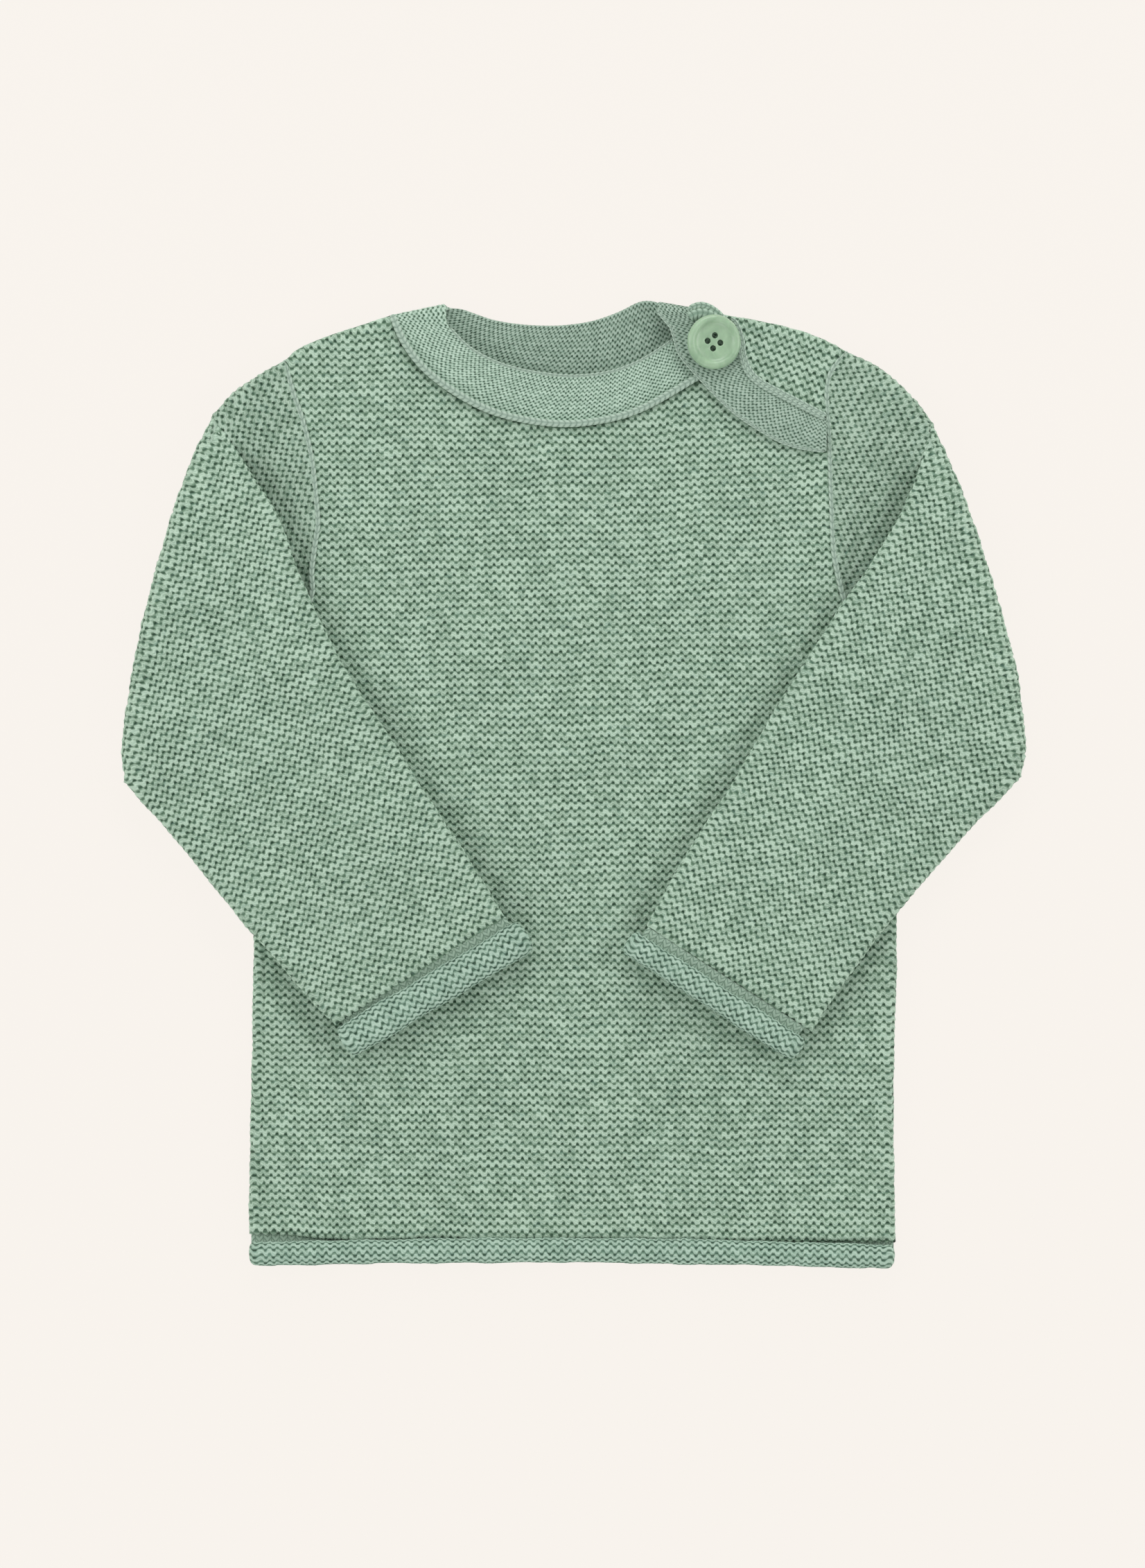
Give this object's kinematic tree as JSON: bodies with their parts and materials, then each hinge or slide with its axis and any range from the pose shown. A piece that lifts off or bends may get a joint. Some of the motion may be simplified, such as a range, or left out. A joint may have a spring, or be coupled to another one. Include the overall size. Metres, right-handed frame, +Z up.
{
  "type": "baby sweater",
  "caption": "Garter-knit baby sweater laid flat with both sleeves folded over the front, fine-knit neckband, shoulder placket flap with one button, rolled hem and cuffs.",
  "frame": {"origin": "bottom centre of the bounding box, on the surface the sweater lies on", "axes": "+Y from the hem towards the neck, +X towards the wearer's left, +Z up out of the front"},
  "size_m": [0.3246, 0.3488, 0.0155],
  "materials": {
    "garter_knit": "soft sage green garter knit, matt",
    "fine_knit": "the same yarn in a finer reverse stocking stitch, matt",
    "button_green": "pale green translucent plastic, satin"
  },
  "bodies": {
    "root": {"back": "garter_knit", "front": "garter_knit", "sleeve_right": "garter_knit", "sleeve_left": "garter_knit", "neckband": "fine_knit", "placket_flap": "fine_knit", "neck_seam_chain": "fine_knit", "shoulder_edging": "fine_knit", "loop_end": "fine_knit", "hem_roll": "fine_knit", "cuff_roll_right": "fine_knit", "cuff_roll_left": "fine_knit", "button": "button_green"}
  },
  "joints": []
}
